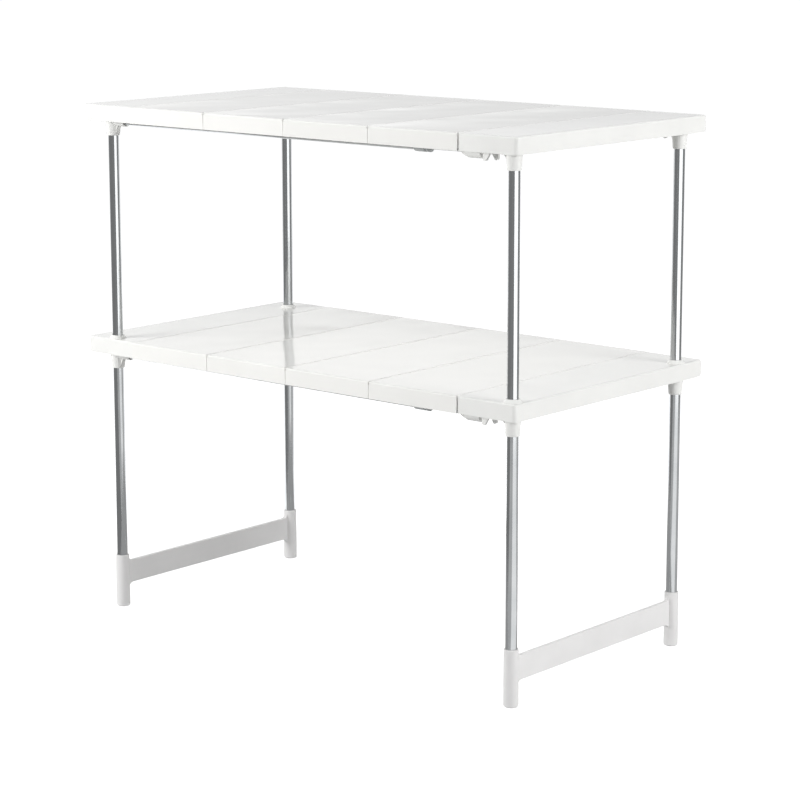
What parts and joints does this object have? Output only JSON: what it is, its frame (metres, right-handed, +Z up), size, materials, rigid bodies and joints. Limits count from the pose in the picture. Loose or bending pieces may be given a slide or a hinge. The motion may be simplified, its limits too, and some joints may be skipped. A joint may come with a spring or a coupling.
{
  "type": "two-tier shelf organizer",
  "caption": "Freestanding two-tier cupboard rack with steel tube posts, bridged feet and lift-out shelf panels, widening on telescoping rods.",
  "frame": {"origin": "on the floor, under the middle of the rack's outer size, with the rack at its narrowest", "axes": "+Z up, +X along the width from the fixed left side to the side that pulls out, +Y to the back"},
  "size_m": [0.51, 0.2714, 0.476],
  "materials": {
    "shelf_plastic": "white injection-moulded polypropylene, softly glossy",
    "end_plastic": "white injection-moulded polypropylene, softly glossy",
    "foot_plastic": "white moulded plastic, satin",
    "sleeve_plastic": "light grey moulded plastic",
    "post_steel": "polished steel tube",
    "rod_steel": "polished steel tube"
  },
  "bodies": {
    "left_side": {"foot_frame_left": "foot_plastic", "lower_left_end_piece": "end_plastic", "lower_post_front_left": "post_steel", "lower_post_rear_left": "post_steel", "upper_left_end_piece": "end_plastic", "upper_post_front_left": "post_steel", "upper_post_rear_left": "post_steel", "lower_front_outer_rod": "rod_steel", "lower_front_rod_sleeve": "sleeve_plastic", "lower_rear_outer_rod": "rod_steel", "lower_rear_rod_sleeve": "sleeve_plastic", "upper_front_outer_rod": "rod_steel", "upper_front_rod_sleeve": "sleeve_plastic", "upper_rear_outer_rod": "rod_steel", "upper_rear_rod_sleeve": "sleeve_plastic"},
    "right_side": {"foot_frame_right": "foot_plastic", "lower_right_end_piece": "end_plastic", "lower_post_front_right": "post_steel", "lower_post_rear_right": "post_steel", "upper_right_end_piece": "end_plastic", "upper_post_front_right": "post_steel", "upper_post_rear_right": "post_steel", "lower_front_inner_rod": "rod_steel", "lower_rear_inner_rod": "rod_steel", "upper_front_inner_rod": "rod_steel", "upper_rear_inner_rod": "rod_steel"},
    "lower_panel_1": {"lower_panel_1": "shelf_plastic"},
    "lower_panel_2": {"lower_panel_2": "shelf_plastic"},
    "lower_panel_3": {"lower_panel_3": "shelf_plastic"},
    "lower_panel_4": {"lower_panel_4": "shelf_plastic"},
    "upper_panel_1": {"upper_panel_1": "shelf_plastic"},
    "upper_panel_2": {"upper_panel_2": "shelf_plastic"},
    "upper_panel_3": {"upper_panel_3": "shelf_plastic"},
    "upper_panel_4": {"upper_panel_4": "shelf_plastic"}
  },
  "joints": [
    {"name": "width_extend", "type": "slide", "parent": "left_side", "child": "right_side", "axis": [1, 0, 0], "range_m": [0, 0.24]},
    {"name": "lower_panel_1_lift", "type": "slide", "parent": "left_side", "child": "lower_panel_1", "axis": [0, 0, 1], "range_m": [0, 0.06]},
    {"name": "lower_panel_2_lift", "type": "slide", "parent": "left_side", "child": "lower_panel_2", "axis": [0, 0, 1], "range_m": [0, 0.06]},
    {"name": "lower_panel_3_lift", "type": "slide", "parent": "left_side", "child": "lower_panel_3", "axis": [0, 0, 1], "range_m": [0, 0.06]},
    {"name": "lower_panel_4_lift", "type": "slide", "parent": "left_side", "child": "lower_panel_4", "axis": [0, 0, 1], "range_m": [0, 0.06]},
    {"name": "upper_panel_1_lift", "type": "slide", "parent": "left_side", "child": "upper_panel_1", "axis": [0, 0, 1], "range_m": [0, 0.06]},
    {"name": "upper_panel_2_lift", "type": "slide", "parent": "left_side", "child": "upper_panel_2", "axis": [0, 0, 1], "range_m": [0, 0.06]},
    {"name": "upper_panel_3_lift", "type": "slide", "parent": "left_side", "child": "upper_panel_3", "axis": [0, 0, 1], "range_m": [0, 0.06]},
    {"name": "upper_panel_4_lift", "type": "slide", "parent": "left_side", "child": "upper_panel_4", "axis": [0, 0, 1], "range_m": [0, 0.06]}
  ]
}
